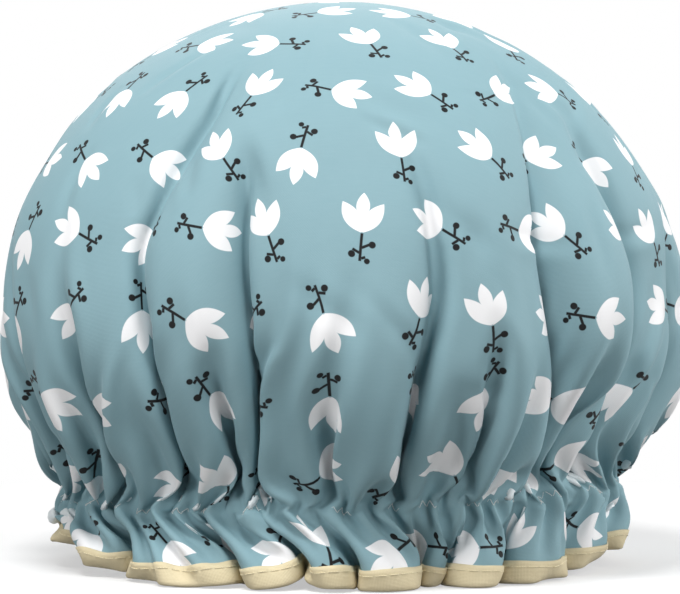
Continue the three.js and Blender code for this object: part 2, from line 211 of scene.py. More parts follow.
def foldedRing(s, count=7200):
    # One ring of the cloth before it is draped, as closely spaced points
    plan = foldPlan
    radius = np.interp(s, outlineRun, outline[:, 0])
    height = np.interp(s, outlineRun, outline[:, 1])
    angle = np.linspace(-180, 180, count, endpoint=False)
    nearGather = math.exp(-((s - gatherRun) / 9.0) ** 2)
    arc = math.radians(1) * radius
    inward = np.zeros(count)
    shift = np.zeros(count)
    if s <= gatherRun:
        pinched = 1 - smoothStep(s, gatherRun - plan["pinch"][0], gatherRun - plan["pinch"][1])
        low = smoothStep(s, *plan["lower"])
        deeper = plan["deep"][0] + plan["deep"][1] * low
        looser = plan["lip"][0] + plan["lip"][1] * low
        for fold in crownFolds:
            start = fold["start"]
            at = np.interp(s, [start, (start + gatherRun) / 2, gatherRun], fold["angles"])
            swayed = smoothStep(s, start, start + 40) * (1 - smoothStep(s, gatherRun - 30, gatherRun))
            at = at + 0.7 * swayed * math.sin(s / 17.0 + fold["angles"][0])
            grown = smoothStep(s, start - 10, start + fold["grow"]) * (0.6 + 0.4 * smoothStep(s, 150, 210))
            width = fold["width"] * (1.3 - 0.3 * smoothStep(s, start, 220))
            offset = apart(angle, at) * arc
            inward += deeper * fold["depth"] * grown * pinched * crease(offset, width, plan["broad"])
            beside = offset - math.copysign(0.9 * width, fold["lip"])
            shift -= looser * fold["lip"] * grown * pinched * np.exp(-(beside / (0.8 * width)) ** 2)
        inward -= capShape["fullness"] * inward.mean() * (1 - 0.25 * smoothStep(s, 130, 200))
        inward -= capShape["shoulder"] * smoothStep(s, 15, 80) * (1 - smoothStep(s, 130, 180))
        for at, spread, (begins, stands, fades, ends), rise in puffs:
            stood = smoothStep(s, begins, stands) * (1 - smoothStep(s, fades, ends))
            inward -= rise * stood * np.exp(-(apart(angle, at) / spread) ** 2)
        for tuck in tucks:
            above = gatherRun - s
            grown = smoothStep(s, gatherRun - tuck["reach"], gatherRun - 0.3 * tuck["reach"])
            if grown > 0:
                at = tuck["angle"] + tuck["lean"] * above + 0.5 * math.sin(s / 9.0 + tuck["phase"])
                pressed = 1 - 0.1 * smoothStep(s, gatherRun - 6, gatherRun)
                inward += tuck["depth"] * grown * pressed * crease(apart(angle, at) * arc, tuck["width"])
    if s > gatherRun:
        down = float(smoothStep(s, gatherRun - 4, hemRun))
        for tuck in tucks:
            deep = 0.8 * tuck["depth"] * (1 - smoothStep(s, gatherRun, gatherRun + 13))
            inward += deep * crease(apart(angle, tuck["angle"]) * arc, tuck["width"])
        inward += capShape["hemPinch"] * down * np.sin(np.radians(angle)) ** 2
        for atGather, atHem, depth, width, lip in frillFolds:
            offset = apart(angle, atGather + (atHem - atGather) * down) * arc
            dip = crease(offset, width, plan["frillBroad"])
            deep = smoothStep(s, gatherRun - 3, hemRun - 6)
            inward += depth * deep * dip
            beside = offset - math.copysign(1.1 * width, lip)
            shift -= 0.8 * lip * down * np.exp(-(beside / width) ** 2)
            shift -= 0.75 * width * down * np.sign(offset) * dip * (1 - dip)
        for at, spread, rise in hemLifts:
            height = height + rise * down * np.exp(-(apart(angle, at) / spread) ** 2)
    rng = np.random.default_rng(plan["waveSeed"])
    for waves in range(*plan["waves"]):
        wave = np.sin(np.radians(angle) * waves + rng.uniform(0, fullTurn)) * rng.uniform(0.5, 1)
        inward += plan["waveDepth"] * nearGather * wave
        wave = np.sin(np.radians(angle) * (waves - 13) + rng.uniform(0, fullTurn)) * rng.uniform(0.5, 1)
        height = height + plan["waveRise"] * nearGather * wave
    soft = smoothStep(s, 60, 140) * (1 - nearGather)
    sway = 1.2 * np.sin(np.radians(angle) * 5 + 1.0) + 1.2 * np.sin(np.radians(angle) * 9 + s / 40.0 + 2.0)
    ringRadius = radius - soft + soft * sway - inward
    if abs(s - gatherRun) < capShape["elasticReach"]:
        ringRadius = np.maximum(ringRadius, elasticRadius + capShape["elasticRoom"])
    turn = np.radians(angle - 90.0) + shift / radius
    x, y = ringRadius * np.cos(turn), ringRadius * np.sin(turn)
    return np.stack([x, y, height + tiltAt(x, s)], 1)


def spaced(ring, count, first):
    # Points at equal distances along a closed ring
    closed = np.vstack([ring, ring[:1]])
    length = np.concatenate([[0], np.cumsum(np.linalg.norm(np.diff(closed, axis=0), axis=1))])
    t = (np.arange(count) / count + first) % 1.0 * length[-1]
    return np.stack([np.interp(t, length, closed[:, i]) for i in range(3)], 1), length[-1]


def gatheredCloth():
    # Grid of the cloth's points, rows from the top to the hem. Column 0 is at the back.
    runs = [hemRun]
    while runs[-1] > 6:
        step = capShape["frillStep"] if runs[-1] > gatherRun - 14 else capShape["crownStep"]
        runs.append(runs[-1] - step)
    runs = np.array(runs[::-1])
    count = capShape["columns"]
    turn = np.arange(count) / count * fullTurn + math.pi / 2
    rows, lengths = [], []
    for s in runs:
        ring = foldedRing(s)
        points, length = spaced(ring, count, 0.0)
        drift = np.angle(np.mean(np.exp(1j * (np.arctan2(points[:, 1], points[:, 0]) - turn))))
        points, length = spaced(ring, count, -drift / fullTurn)
        rows.append(points)
        lengths.append(length)
    return np.stack(rows), runs, np.array(lengths)


drape = dict(
    rounds=320,
    levels=(100, 140, 180, 215, 243, 250, 268),  # along the cloth from the top
    spare=(1.0, 1.04, 1.12, 1.24, 1.24, 1.2, 1.2),  # cloth in a ring, as a share of the folded ring
    hold=0.004,  # pull towards the folded start
    grip=5.0,  # how much more the bottoms of the folds are held than their ridges
    puff=0.012,  # push outwards in each round
    stiffness=0.035,  # against bending round the cap
    stiffnessDown=0.2,  # against bending from the top to the hem
    shear=0.25,
    weight=0.02,  # drop of the frill in each round
    longer=1.1,  # length of the frill at the hem, as a share of its straight drop
    thickness=1.3,  # least distance between two folds of the stacked layers
    reach=(2, 24),  # columns apart at which folds can touch
    seed=5,
)

fineDrape = dict(
    drape,
    rounds=40,
    spare=(1.0, 1.0, 1.02, 1.06, 1.08, 1.06, 1.04),
    reach=(4, 48),
    hold=0.01,
    puff=0.0,
    stiffness=0.05,
    weight=0.0,
    seed=8,
)


def pull(a, b, rest, give):
    d = b - a
    length = np.linalg.norm(d, axis=-1, keepdims=True)
    return d * (0.5 * give * (1 - rest / np.maximum(length, 1e-6)))


def byRun(runs, places, values):
    return np.interp(runs, places, values)[:, None, None]


def drapeCloth(start, runs, lengths, plan):
    # Lets the spare cloth find its folds: lengths are kept, bends are resisted and the gather is held fast.
    rowCount, count, _ = start.shape
    cloth = start.copy()
    least = (lengths / count)[:, None, None]
    spare = byRun(runs, plan["levels"], plan["spare"]) - 1
    down = np.diff(runs)[:, None, None] * byRun(runs[1:], [gatherRun + 2, hemRun - 4], [1, plan["longer"]])
    free = ((np.abs(runs - gatherRun) > 1.6) & (runs > 45)).astype(float)[:, None, None]
    hold = plan["hold"] * byRun(runs, [60, 120, 170, 215, 245, 268], [12, 9, 2.5, 1, 1, 1.6])
    fromAxis = np.linalg.norm(start[:, :, :2], axis=-1, keepdims=True)
    sunk = byRun(runs, outlineRun, outline[:, 0]) - fromAxis
    hold = hold * (1 + plan["grip"] * np.clip(sunk / 8, 0, 1))
    puff = plan["puff"] * byRun(runs, [90, 150, gatherRun - 14, gatherRun], [0, 1, 1, 0]) * free
    stiffness = plan["stiffness"] * byRun(runs, [hemRun - 12, hemRun - 7], [1, 2])
    stiffnessDown = plan["stiffnessDown"] * byRun(np.abs(runs - gatherRun), [3, 14], [0.1, 1])
    noise = np.random.default_rng(plan["seed"]).normal(size=(rowCount, count))
    for _ in range(10):
        beside = np.roll(noise, 1, 1) + np.roll(noise, -1, 1)
        noise = 0.25 * (beside + np.roll(noise, 1, 0) + np.roll(noise, -1, 0))
    noise *= np.interp(runs, [120, 200], [0, 0.5])[:, None] / noise.std()
    outward = start[:, :, :2] / fromAxis
    cloth[:, :, :2] += outward * noise[:, :, None] * free
    pairs = [(np.arange(first, rowCount - 1, 2), np.arange(first + 1, rowCount, 2)) for first in (0, 1)]
    folded = int(np.searchsorted(runs, 140))
    for step in range(plan["rounds"]):
        around = least * (1 + spare * min(1, step / (0.6 * plan["rounds"])))
        across = np.sqrt((0.5 * (around[1:] + around[:-1])) ** 2 + down ** 2)
        for first in (0, 1):
            a = np.arange(first, count, 2)
            b = (a + 1) % count
            move = pull(cloth[:, a], cloth[:, b], around, 1.0) * free
            cloth[:, a] += move
            cloth[:, b] -= move
        for a, b in pairs:
            both = 2 / np.maximum(free[a] + free[b], 1)
            move = pull(cloth[a], cloth[b], down[a], 1.0) * both
            cloth[a] += move * free[a]
            cloth[b] -= move * free[b]
        for lean in (1, -1):
            for a, b in pairs:
                move = pull(cloth[a], np.roll(cloth[b], -lean, 1), across[a], plan["shear"])
                cloth[a] += move * free[a]
                cloth[b] -= np.roll(move, lean, 1) * free[b]
        lift = 0.5 * (np.roll(cloth, 1, 1) + np.roll(cloth, -1, 1)) - cloth
        cloth += 2 * stiffness * free * (lift - 0.5 * (np.roll(lift, 1, 1) + np.roll(lift, -1, 1)))
        lift = np.zeros_like(cloth)
        lift[1:-1] = 0.5 * (cloth[2:] + cloth[:-2]) - cloth[1:-1]
        bend = lift.copy()
        bend[1:-1] -= 0.5 * (lift[2:] + lift[:-2])
        cloth += 2 * stiffnessDown * free * bend
        cloth += hold * (start - cloth) * free
        cloth[:, :, :2] += puff * outward
        cloth[runs > gatherRun + 2, :, 2] -= plan["weight"]
        if step % 2 == 1 or step > 0.85 * plan["rounds"]:
            keepApart(cloth[folded:], free[folded:], plan)
        keepOffElastic(cloth, free)
        cloth[:, :, 2] = np.maximum(cloth[:, :, 2], start[-1, :, 2])
    return cloth


def keepApart(cloth, free, plan):
    # Where two places of a ring come to the same radius, the later one stays on its own side of the other.
    room = plan["thickness"]
    for gap in range(*plan["reach"]):
        other = np.roll(cloth, -gap, 1)
        middle = cloth[:, :, :2] + other[:, :, :2]
        outward = middle / np.linalg.norm(middle, axis=-1, keepdims=True)
        d = other[:, :, :2] - cloth[:, :, :2]
        along = d[:, :, 1] * outward[:, :, 0] - d[:, :, 0] * outward[:, :, 1]
        depth = np.abs(d[:, :, 0] * outward[:, :, 0] + d[:, :, 1] * outward[:, :, 1])
        push = 0.5 * np.clip(1 - depth / (2.2 * room), 0, 1) * np.clip(room - along, 0, 4)
        move = push[:, :, None] * np.stack([-outward[:, :, 1], outward[:, :, 0]], -1) * free
        cloth[:, :, :2] -= move
        cloth[:, :, :2] += np.roll(move, gap, 1)


def keepOffElastic(cloth, free):
    level = gatherHeight + gatherRise(cloth[:, :, :1])
    radius = np.linalg.norm(cloth[:, :, :2], axis=-1, keepdims=True)
    beside = (np.abs(cloth[:, :, 2:] - level) < capShape["elasticReach"]) * free
    least = elasticRadius + capShape["elasticRoom"]
    cloth[:, :, :2] *= 1 + beside * np.maximum(least / radius - 1, 0)


def halved(cloth, axis, closed):
    # One step of a smooth surface's subdivision along one direction
    if closed:
        before, after = np.roll(cloth, 1, axis), np.roll(cloth, -1, axis)
        middle = 0.5 * (cloth + after)
        corner = 0.75 * cloth + 0.125 * (before + after)
        return np.stack([corner, middle], axis + 1).reshape(cloth.shape[0], -1, 3)
    middle = 0.5 * (cloth[1:] + cloth[:-1])
    corner = cloth.copy()
    corner[1:-1] = 0.75 * cloth[1:-1] + 0.125 * (cloth[2:] + cloth[:-2])
    fine = np.empty((2 * len(cloth) - 1,) + cloth.shape[1:])
    fine[0::2] = corner
    fine[1::2] = middle
    return fine


def gridNormals(cloth):
    aroundStep = np.roll(cloth, -1, 1) - np.roll(cloth, 1, 1)
    downStep = np.gradient(cloth, axis=0)
    normal = np.cross(aroundStep, downStep)
    normal /= np.maximum(np.linalg.norm(normal, axis=-1, keepdims=True), 1e-9)
    if np.sum(normal[:, :, :2] * cloth[:, :, :2]) < 0:
        normal = -normal
    return normal


crumplePlan = dict(
    count=170, seed=21, depth=(0.35, 1.0), halfWidth=(1.8, 4.2), halfLength=(9, 26), lean=40,
    furthest=238)  # from the top


def crumples(cloth, runs):
    # Small soft creases that handling has left in the cotton
    plan = crumplePlan
    rng = np.random.default_rng(plan["seed"])
    rowCount, count, _ = cloth.shape
    length = np.linalg.norm(np.roll(cloth, -1, 1) - cloth, axis=-1).sum(1)
    height = np.zeros((rowCount, count))
    for _ in range(plan["count"]):
        column, run = rng.uniform(0, count), plan["furthest"] * math.sqrt(rng.uniform(0.03, 1))
        lean = math.radians(rng.normal(0, plan["lean"]))
        deep, half, reach = [rng.uniform(*plan[name]) for name in ("depth", "halfWidth", "halfLength")]
        rows = np.abs(runs - run) < reach + 2 * half
        columnsOff = (np.arange(count) - column + count / 2) % count - count / 2
        across = columnsOff[None] * (length[rows] / count)[:, None]
        down = (runs[rows] - run)[:, None]
        u = (down * math.cos(lean) + across * math.sin(lean)) / reach
        v = (across * math.cos(lean) - down * math.sin(lean)) / half
        tapered = np.clip(1 - u * u, 0, 1) ** 2
        height[rows] -= deep * tapered * (np.exp(-v * v) - 0.4 * np.exp(-(v - 1.8) ** 2))
    return height * (1 - smoothStep(runs, gatherRun - 12, gatherRun - 4))[:, None]


startCloth, coarseRuns, startLengths = gatheredCloth()
coarseCloth = drapeCloth(startCloth, coarseRuns, startLengths, drape)
print("draped the cloth:", coarseCloth.shape)
fineCloth = halved(halved(coarseCloth, 1, True), 0, False)
capRuns = np.interp(np.arange(len(fineCloth)) / 2, np.arange(len(coarseRuns)), coarseRuns)
fineLengths = np.linalg.norm(np.roll(fineCloth, -1, 1) - fineCloth, axis=-1).sum(1)
capCloth = drapeCloth(fineCloth, capRuns, fineLengths, fineDrape)
print("draped it again on the finer grid:", capCloth.shape)
columnCount = capCloth.shape[1]
capCloth = capCloth + gridNormals(capCloth) * crumples(capCloth, capRuns)[:, :, None]
capNormals = gridNormals(capCloth)
rowStep = np.arange(len(capRuns))


def clothPoint(s, column, lift):
    # Points on the draped cover at the length s from the top and at a column, lifted off it
    row = np.clip(np.interp(s, capRuns, rowStep), 0, len(capRuns) - 1.001)
    r0 = row.astype(int)
    c = np.mod(column, columnCount)
    c0 = c.astype(int) % columnCount
    c1 = (c0 + 1) % columnCount
    u, v = (row - r0)[:, None], (c - np.floor(c))[:, None]
    spot, normal = [
        (1 - u) * ((1 - v) * g[r0, c0] + v * g[r0, c1]) + u * ((1 - v) * g[r0 + 1, c0] + v * g[r0 + 1, c1])
        for g in (capCloth, capNormals)]
    normal /= np.maximum(np.linalg.norm(normal, axis=1, keepdims=True), 1e-9)
    return spot + normal * np.reshape(lift, (-1, 1))


def makePiece(name, points, faces, uvs=None, uvName="flatCut"):
    mesh = bpy.data.meshes.new(name)
    mesh.from_pydata((np.asarray(points) * mm).tolist(), [], faces)
    if uvs is not None:
        layer = mesh.uv_layers.new(name=uvName)
        corners = np.empty(len(mesh.loops), dtype=np.int32)
        mesh.loops.foreach_get("vertex_index", corners)
        layer.data.foreach_set("uv", np.asarray(uvs)[corners].ravel())
    mesh.shade_smooth()
    mesh.validate()
    piece = bpy.data.objects.new(name, mesh)
    bpy.context.scene.collection.objects.link(piece)
    return piece


def clothSheet(name, lift):
    # The whole sheet from its middle to the hem. Near the top it has fewer columns.
    points, uvs, faces, rings = [[0, 0, capCloth[0, :, 2].mean() + 0.15 + lift]], [[0.5, 0.5]], [], []
    turn = np.arange(columnCount) / columnCount * fullTurn + math.pi / 2
    for row, s in enumerate(capRuns):
        skip = 1
        while fullTurn * s * skip / columnCount < 0.6 and skip < 32:
            skip *= 2
        ids = len(points) + np.arange(columnCount // skip)
        rings.append(ids.tolist())
        points.extend((capCloth[row] + capNormals[row] * lift)[::skip].tolist())
        flat = 0.5 + s * np.stack([np.cos(turn), np.sin(turn)], 1) / flatDiameter
        uvs.extend(flat[::skip].tolist())
    first = rings[0]
    faces.extend((0, first[i], first[(i + 1) % len(first)]) for i in range(len(first)))
    for upper, lower in zip(rings[:-1], rings[1:]):
        n = len(upper)
        for i in range(n):
            j = (i + 1) % n
            if len(lower) == n:
                faces.append((upper[i], lower[i], lower[j], upper[j]))
            else:
                a, b, c = lower[2 * i], lower[2 * i + 1], lower[(2 * i + 2) % (2 * n)]
                faces.extend([(upper[i], a, b), (upper[i], b, upper[j]), (upper[j], b, c)])
    return makePiece(name, points, faces, uvs, "OFBake")


def loft(name, sections, closed, spacing):
    # Skin through a row of sections of equal size. UVs are millimetres along and round it.
    count, size, _ = sections.shape
    faces = []
    for i in range(count if closed else count - 1):
        j = (i + 1) % count
        for k in range(size):
            n = (k + 1) % size
            faces.append((i * size + k, j * size + k, j * size + n, i * size + n))
    if not closed:
        faces.append(tuple(range(size))[::-1])
        faces.append(tuple((count - 1) * size + k for k in range(size)))
    along = np.repeat(np.arange(count) * spacing, size)
    girth = np.linalg.norm(np.roll(sections[0], -1, 0) - sections[0], axis=1)
    across = np.tile(np.concatenate([[0], np.cumsum(girth)[:-1]]), count)
    return makePiece(name, sections.reshape(-1, 3), faces, np.stack([along, across], 1))


def threadPiece(name, path, radius, sides=6, across=(0.0, 0.0, 1.0)):
    # Closed tube. across is a direction that the path doesn't keep to.
    before, after = np.roll(path, 1, 0), np.roll(path, -1, 0)
    ahead = after - before
    ahead /= np.maximum(np.linalg.norm(ahead, axis=1, keepdims=True), 1e-9)
    side = np.cross(ahead, np.array(across))
    side /= np.maximum(np.linalg.norm(side, axis=1, keepdims=True), 1e-9)
    up = np.cross(side, ahead)
    turn = np.arange(sides) / sides * fullTurn
    ring = side[:, None] * np.cos(turn)[None, :, None] + up[:, None] * np.sin(turn)[None, :, None]
    spacing = np.linalg.norm(np.diff(path, axis=0), axis=1).mean()
    return loft(name, path[:, None] + radius * ring, True, spacing)


linerPlan = dict(lift=-0.5)
coverPiece = clothSheet("cover", 0.0)
linerPiece = clothSheet("liner", linerPlan["lift"])
print("cover and liner:", len(coverPiece.data.polygons), "faces each")

bindingPlan = dict(
    width=5.8,
    thickness=0.5,
    gap=0.22,  # between the tape and the cloth in it
    foot=0.5,  # height at which the flat legs end and the fold begins
    fold=(1.25, 0.75),  # drop of the fold below that, outside and inside
    taper=0.12,  # at the legs' upper edges
    floorGap=0.05,
    stitchInset=1.7,
    stitchLength=3.1,
    stitchGap=0.9,
    samples=12,  # points of the thread in each stitch
    threadRadius=0.16,
)


def bindingSections():
    # Folded tape round the hem. Each point is a height above the cloth's edge and a lift off the cover.
    plan = bindingPlan
    near, far = plan["gap"], plan["gap"] + plan["thickness"]
    back = linerPlan["lift"]
    middle = back / 2
    foot = plan["foot"]
    drop, innerDrop = plan["fold"]
    legs = np.linspace(foot, plan["width"], 6)
    thin = [plan["taper"] if h == legs[-1] else 0 for h in legs]
    turn = np.linspace(0, math.pi, 7)[1:-1]
    outerLeg = [(h, far - t) for h, t in zip(legs[::-1], thin[::-1])]
    outerFold = [(foot - drop * math.sin(t), middle + (far - middle) * math.cos(t)) for t in turn]
    outer = outerLeg + outerFold + [(h, back - far + t) for h, t in zip(legs, thin)]
    innerFold = [(foot - innerDrop * math.sin(t), middle - (near - middle) * math.cos(t)) for t in turn]
    inner = [(h, back - near) for h in legs[::-1]] + innerFold + [(h, near) for h in legs]
    columns = np.arange(columnCount, dtype=float)
    edgeDown = capCloth[-1] - capCloth[-3]
    edgeDown /= np.linalg.norm(edgeDown, axis=1, keepdims=True)
    ring = []
    for height, lift in outer + inner:
        run = np.full(columnCount, hemRun - max(height, 0.0))
        spot = clothPoint(run, columns, np.full(columnCount, lift))
        ring.append(spot - edgeDown * min(height, 0.0))
    return np.stack(ring, 1)


bindingShape = bindingSections()
bindingShape[:, :, 2] = np.maximum(bindingShape[:, :, 2], bindingPlan["floorGap"])
hemEdges = np.linalg.norm(np.roll(capCloth[-1], -1, 0) - capCloth[-1], axis=1)
hemLength = hemEdges.sum()
bindingPiece = loft("binding", bindingShape, True, hemLength / columnCount)
print("binding:", round(hemLength), "mm round the hem")


def bindingStitch(name, lift, inward):
    # Running stitch whose thread dips into the tape between two stitches
    plan = bindingPlan
    pitch = plan["stitchLength"] + plan["stitchGap"]
    stitches = int(hemLength / pitch)
    samples = stitches * plan["samples"]
    t = np.arange(samples) / samples
    reached = np.concatenate([[0], np.cumsum(hemEdges)]) / hemLength
    column = np.interp(t, reached, np.arange(columnCount + 1))
    inStitch = (t * stitches) % 1.0
    share = plan["stitchGap"] / pitch
    sunk = 1 - smoothStep(np.abs(inStitch - 0.5), 0.0, share * 0.75)
    height = plan["threadRadius"] * 0.7 - 3.2 * plan["threadRadius"] * sunk
    run = np.full(samples, hemRun - plan["width"] + plan["stitchInset"])
    path = clothPoint(run, column, lift + inward * height)
    return threadPiece(name, path, plan["threadRadius"])


tapeFace = bindingPlan["gap"] + bindingPlan["thickness"]
bindingThread = bindingStitch("binding_stitch_outside", tapeFace, 1)
bindingThreadInside = bindingStitch("binding_stitch_inside", linerPlan["lift"] - tapeFace, -1)

gatherPlan = dict(
    stitches=250, samples=14, reach=1.2, threadRadius=0.11,
    buryWaves=((23, 1), (41, 0), (67, 0)))  # where crumpled cloth hides the thread: waves in a turn, phase


def zigzag():
    # Share of the turn, place across the stitch from -1 to 1, and how far the thread sinks at its ends
    samples = gatherPlan["stitches"] * gatherPlan["samples"]
    t = np.arange(samples) / samples
    phase = (t * gatherPlan["stitches"]) % 1.0
    across = 1 - 4 * np.abs(phase - 0.5)
    return t, across, smoothStep(np.abs(across), 0.72, 1.0)


def gatherThread():
    t, across, sunk = zigzag()
    waves = sum(np.sin(t * fullTurn * count + phase) for count, phase in gatherPlan["buryWaves"])
    buried = smoothStep(waves, -1.2, -0.2)
    lift = gatherPlan["threadRadius"] * (0.9 - 2.6 * sunk - 2.4 * buried)
    path = clothPoint(gatherRun + gatherPlan["reach"] * across, t * columnCount, lift)
    return threadPiece("gather_stitch_outside", path, gatherPlan["threadRadius"])


gatherThreadOutside = gatherThread()

elasticPlan = dict(thickness=1.0, width=7.0, lap=18.0, lapStep=1.12, pieces=420, corner=0.3)


def elasticLevel(x):
    return gatherHeight + gatherRise(x)


def elasticBand():
    # Flat band with its ends lapped at the back
    plan = elasticPlan
    lapTurn = plan["lap"] / elasticRadius
    turn = np.linspace(math.pi / 2 - lapTurn / 2, math.pi / 2 + fullTurn + lapTurn / 2, plan["pieces"])
    lapped = smoothStep(turn, math.pi / 2 + fullTurn - lapTurn, math.pi / 2 + fullTurn - lapTurn / 2)
    outer = elasticRadius - plan["lapStep"] * lapped
    half, c, thick = plan["width"] / 2, plan["corner"], plan["thickness"]
    rim = [(0, half - c), (0, -half + c), (c, -half), (thick - c, -half),
           (thick, -half + c), (thick, half - c), (thick - c, half), (c, half)]
    sections = []
    for depth, height in rim:
        radius = outer - depth
        x, y = radius * np.cos(turn), radius * np.sin(turn)
        sections.append(np.stack([x, y, elasticLevel(x) + height], 1))
    spacing = elasticRadius * (fullTurn + lapTurn) / plan["pieces"]
    return loft("elastic", np.stack(sections, 1), False, spacing)


def elasticThread():
    t, across, sunk = zigzag()
    turn = t * fullTurn + math.pi / 2
    lapTurn = elasticPlan["lap"] / elasticRadius
    fromBack = np.abs(apart(np.degrees(turn), 90.0)) * math.pi / 180
    lapped = 1 - smoothStep(fromBack, lapTurn / 2, lapTurn)
    lift = gatherPlan["threadRadius"] * (0.9 - 2.4 * sunk)
    radius = elasticRadius - elasticPlan["thickness"] - elasticPlan["lapStep"] * lapped - lift
    x, y = radius * np.cos(turn), radius * np.sin(turn)
    path = np.stack([x, y, elasticLevel(x) + gatherPlan["reach"] * across], 1)
    return threadPiece("gather_stitch_inside", path, gatherPlan["threadRadius"])


tackPlan = dict(reach=5.2, height=2.1, crossings=6, threadRadius=0.14, lift=0.56, sway=0.14, samples=360)


def lapTack():
    # Thread through the lapped ends, zigzag there and back
    plan = tackPlan
    t = np.arange(plan["samples"]) / plan["samples"] * fullTurn
    turn = math.pi / 2 + plan["reach"] * np.sin(t) / elasticRadius
    innerFace = elasticRadius - elasticPlan["thickness"] - elasticPlan["lapStep"]
    radius = innerFace - plan["lift"] - plan["sway"] * np.cos(t)
    x, y = radius * np.cos(turn), radius * np.sin(turn)
    path = np.stack([x, y, elasticLevel(x) + plan["height"] * np.sin(plan["crossings"] * t)], 1)
    return threadPiece("lap_tack", path, plan["threadRadius"], across=(0.0, 1.0, 0.0))


elasticPiece = elasticBand()
gatherThreadInside = elasticThread()
tackThread = lapTack()
print("elastic, stitches and threads are made")


class Wire:
    # A shader socket that takes part in sums. node adds any node, fed by wires and values.
    def __init__(self, tree, socket=None):
        self.tree = tree
        self.socket = socket

    def node(self, kind, settings=None, sockets=None, output=0):
        made = self.tree.nodes.new(kind)
        for name, value in (settings or {}).items():
            setattr(made, name, value)
        for name, value in (sockets or {}).items():
            if isinstance(value, Wire):
                self.tree.links.new(value.socket, made.inputs[name])
            else:
                made.inputs[name].default_value = value
        return Wire(self.tree, made.outputs[output] if made.outputs else None)

    def math(self, operation, *others):
        return self.node("ShaderNodeMath", {"operation": operation}, dict(enumerate((self,) + others)))

    def __add__(self, other):
        return self.math("ADD", other)

    def __sub__(self, other):
        return self.math("SUBTRACT", other)

    def __rsub__(self, other):
        return self.node("ShaderNodeMath", {"operation": "SUBTRACT"}, {0: other, 1: self})

    def __mul__(self, other):
        return self.math("MULTIPLY", other)

    def __truediv__(self, other):
        return self.math("DIVIDE", other)

    def __rtruediv__(self, other):
        return self.node("ShaderNodeMath", {"operation": "DIVIDE"}, {0: other, 1: self})

    def __abs__(self):
        return self.math("ABSOLUTE")

    __radd__ = __add__
    __rmul__ = __mul__

    def clamped(self):
        return self.node("ShaderNodeClamp", {}, {"Value": self})

    def mixed(self, first, second):
        return self.node("ShaderNodeMix", {"data_type": "RGBA"}, {0: self, 6: first, 7: second}, 2)


def startMaterial(name):
    material = bpy.data.materials.new(name)
    material.use_nodes = True
    material.node_tree.nodes.clear()
    return material, Wire(material.node_tree)


def finishMaterial(material, shader, sockets):
    surface = shader.node("ShaderNodeBsdfPrincipled", {}, sockets)
    shader.node("ShaderNodeOutputMaterial", {}, {"Surface": surface})
    return material


def dress(piece, material):
    piece.data.materials.clear()
    piece.data.materials.append(material)


def sRgb(*levels):
    # Linear colour of an 8-bit one
    shares = [level / 255 for level in levels]
    linear = [c / 12.92 if c < 0.04045 else ((c + 0.055) / 1.055) ** 2.4 for c in shares]
    return tuple(linear) + (1.0,)


def place(shader, name):
    return shader.node("ShaderNodeUVMap", {"uv_map": name})


def parts(shader, vector):
    made = shader.node("ShaderNodeSeparateXYZ", {}, {"Vector": vector})
    outputs = made.socket.node.outputs
    return [Wire(shader.tree, output) for output in outputs]


def noise(shader, vector, scale, detail, roughness=0.5):
    return shader.node("ShaderNodeTexNoise", {}, {
        "Vector": vector, "Scale": scale, "Detail": detail, "Roughness": roughness})


def bump(shader, height, strength, distance):
    return shader.node("ShaderNodeBump", {}, {"Height": height, "Strength": strength, "Distance": distance})


def turned(x, y, angle):
    c, s = math.cos(math.radians(angle)), math.sin(math.radians(angle))
    return x * c + y * s, y * c - x * s


printPlan = dict(
    teal=sRgb(139, 171, 179),
    # tealDeep is the darker teal of the random mottle, and also painted shade where the weave's bump is low
    tealDeep=sRgb(129, 163, 172),
    white=sRgb(243, 243, 244),
    black=sRgb(7, 8, 9),
    rowPitch=26.5,
    motifPitch=29.0,
    rowShift=0.3819,  # turn of each row against the one above it, as a share of the whole turn
    fullRing=148.0,  # rings further out than this hold no more motifs
    jitter=4.0,
    edge=0.22,
    weavePitch=0.55,
    # leaves: middle along and across the sprig, angle, half length, half width
    leaves=((3.2, 3.3, 32, 5.9, 2.6), (3.2, -3.3, -32, 5.9, 2.6),
            (6.9, 0.0, 0, 4.8, 2.2), (1.4, 0.0, 0, 3.2, 1.2)),
    # berries: middle along and across the sprig, radius
    berries=((-5.4, 3.2, 1.2), (-8.6, -3.0, 1.2), (-10.6, 1.6, 1.0)),
    # twigs: middle along and across, angle, half length
    twigs=((-6.3, -0.25, 4, 4.5), (-5.9, 1.3, 65, 1.6), (-7.6, -1.7, -62, 1.3), (-9.6, 0.5, 70, 0.8)),
    twigHalfWidth=0.55,
)


def leafMask(x, y, leaf, edge):
    along, across, angle, halfLength, halfWidth = leaf
    u, v = turned(x - along, y - across, angle)
    u = u / halfLength
    return (((1 - u * u) * halfWidth - abs(v)) / edge).clamped()


def berryMask(x, y, berry, edge):
    along, across, radius = berry
    u, v = x - along, y - across
    return ((radius - (u * u + v * v).math("SQRT")) / edge).clamped()


def twigMask(x, y, twig, halfWidth, edge):
    along, across, angle, halfLength = twig
    u, v = turned(x - along, y - across, angle)
    return ((halfWidth - abs(v)) / edge).clamped() * ((halfLength - abs(u)) / edge).clamped()


def strongest(masks):
    found = masks[0]
    for mask in masks[1:]:
        found = found.math("MAXIMUM", mask)
    return found


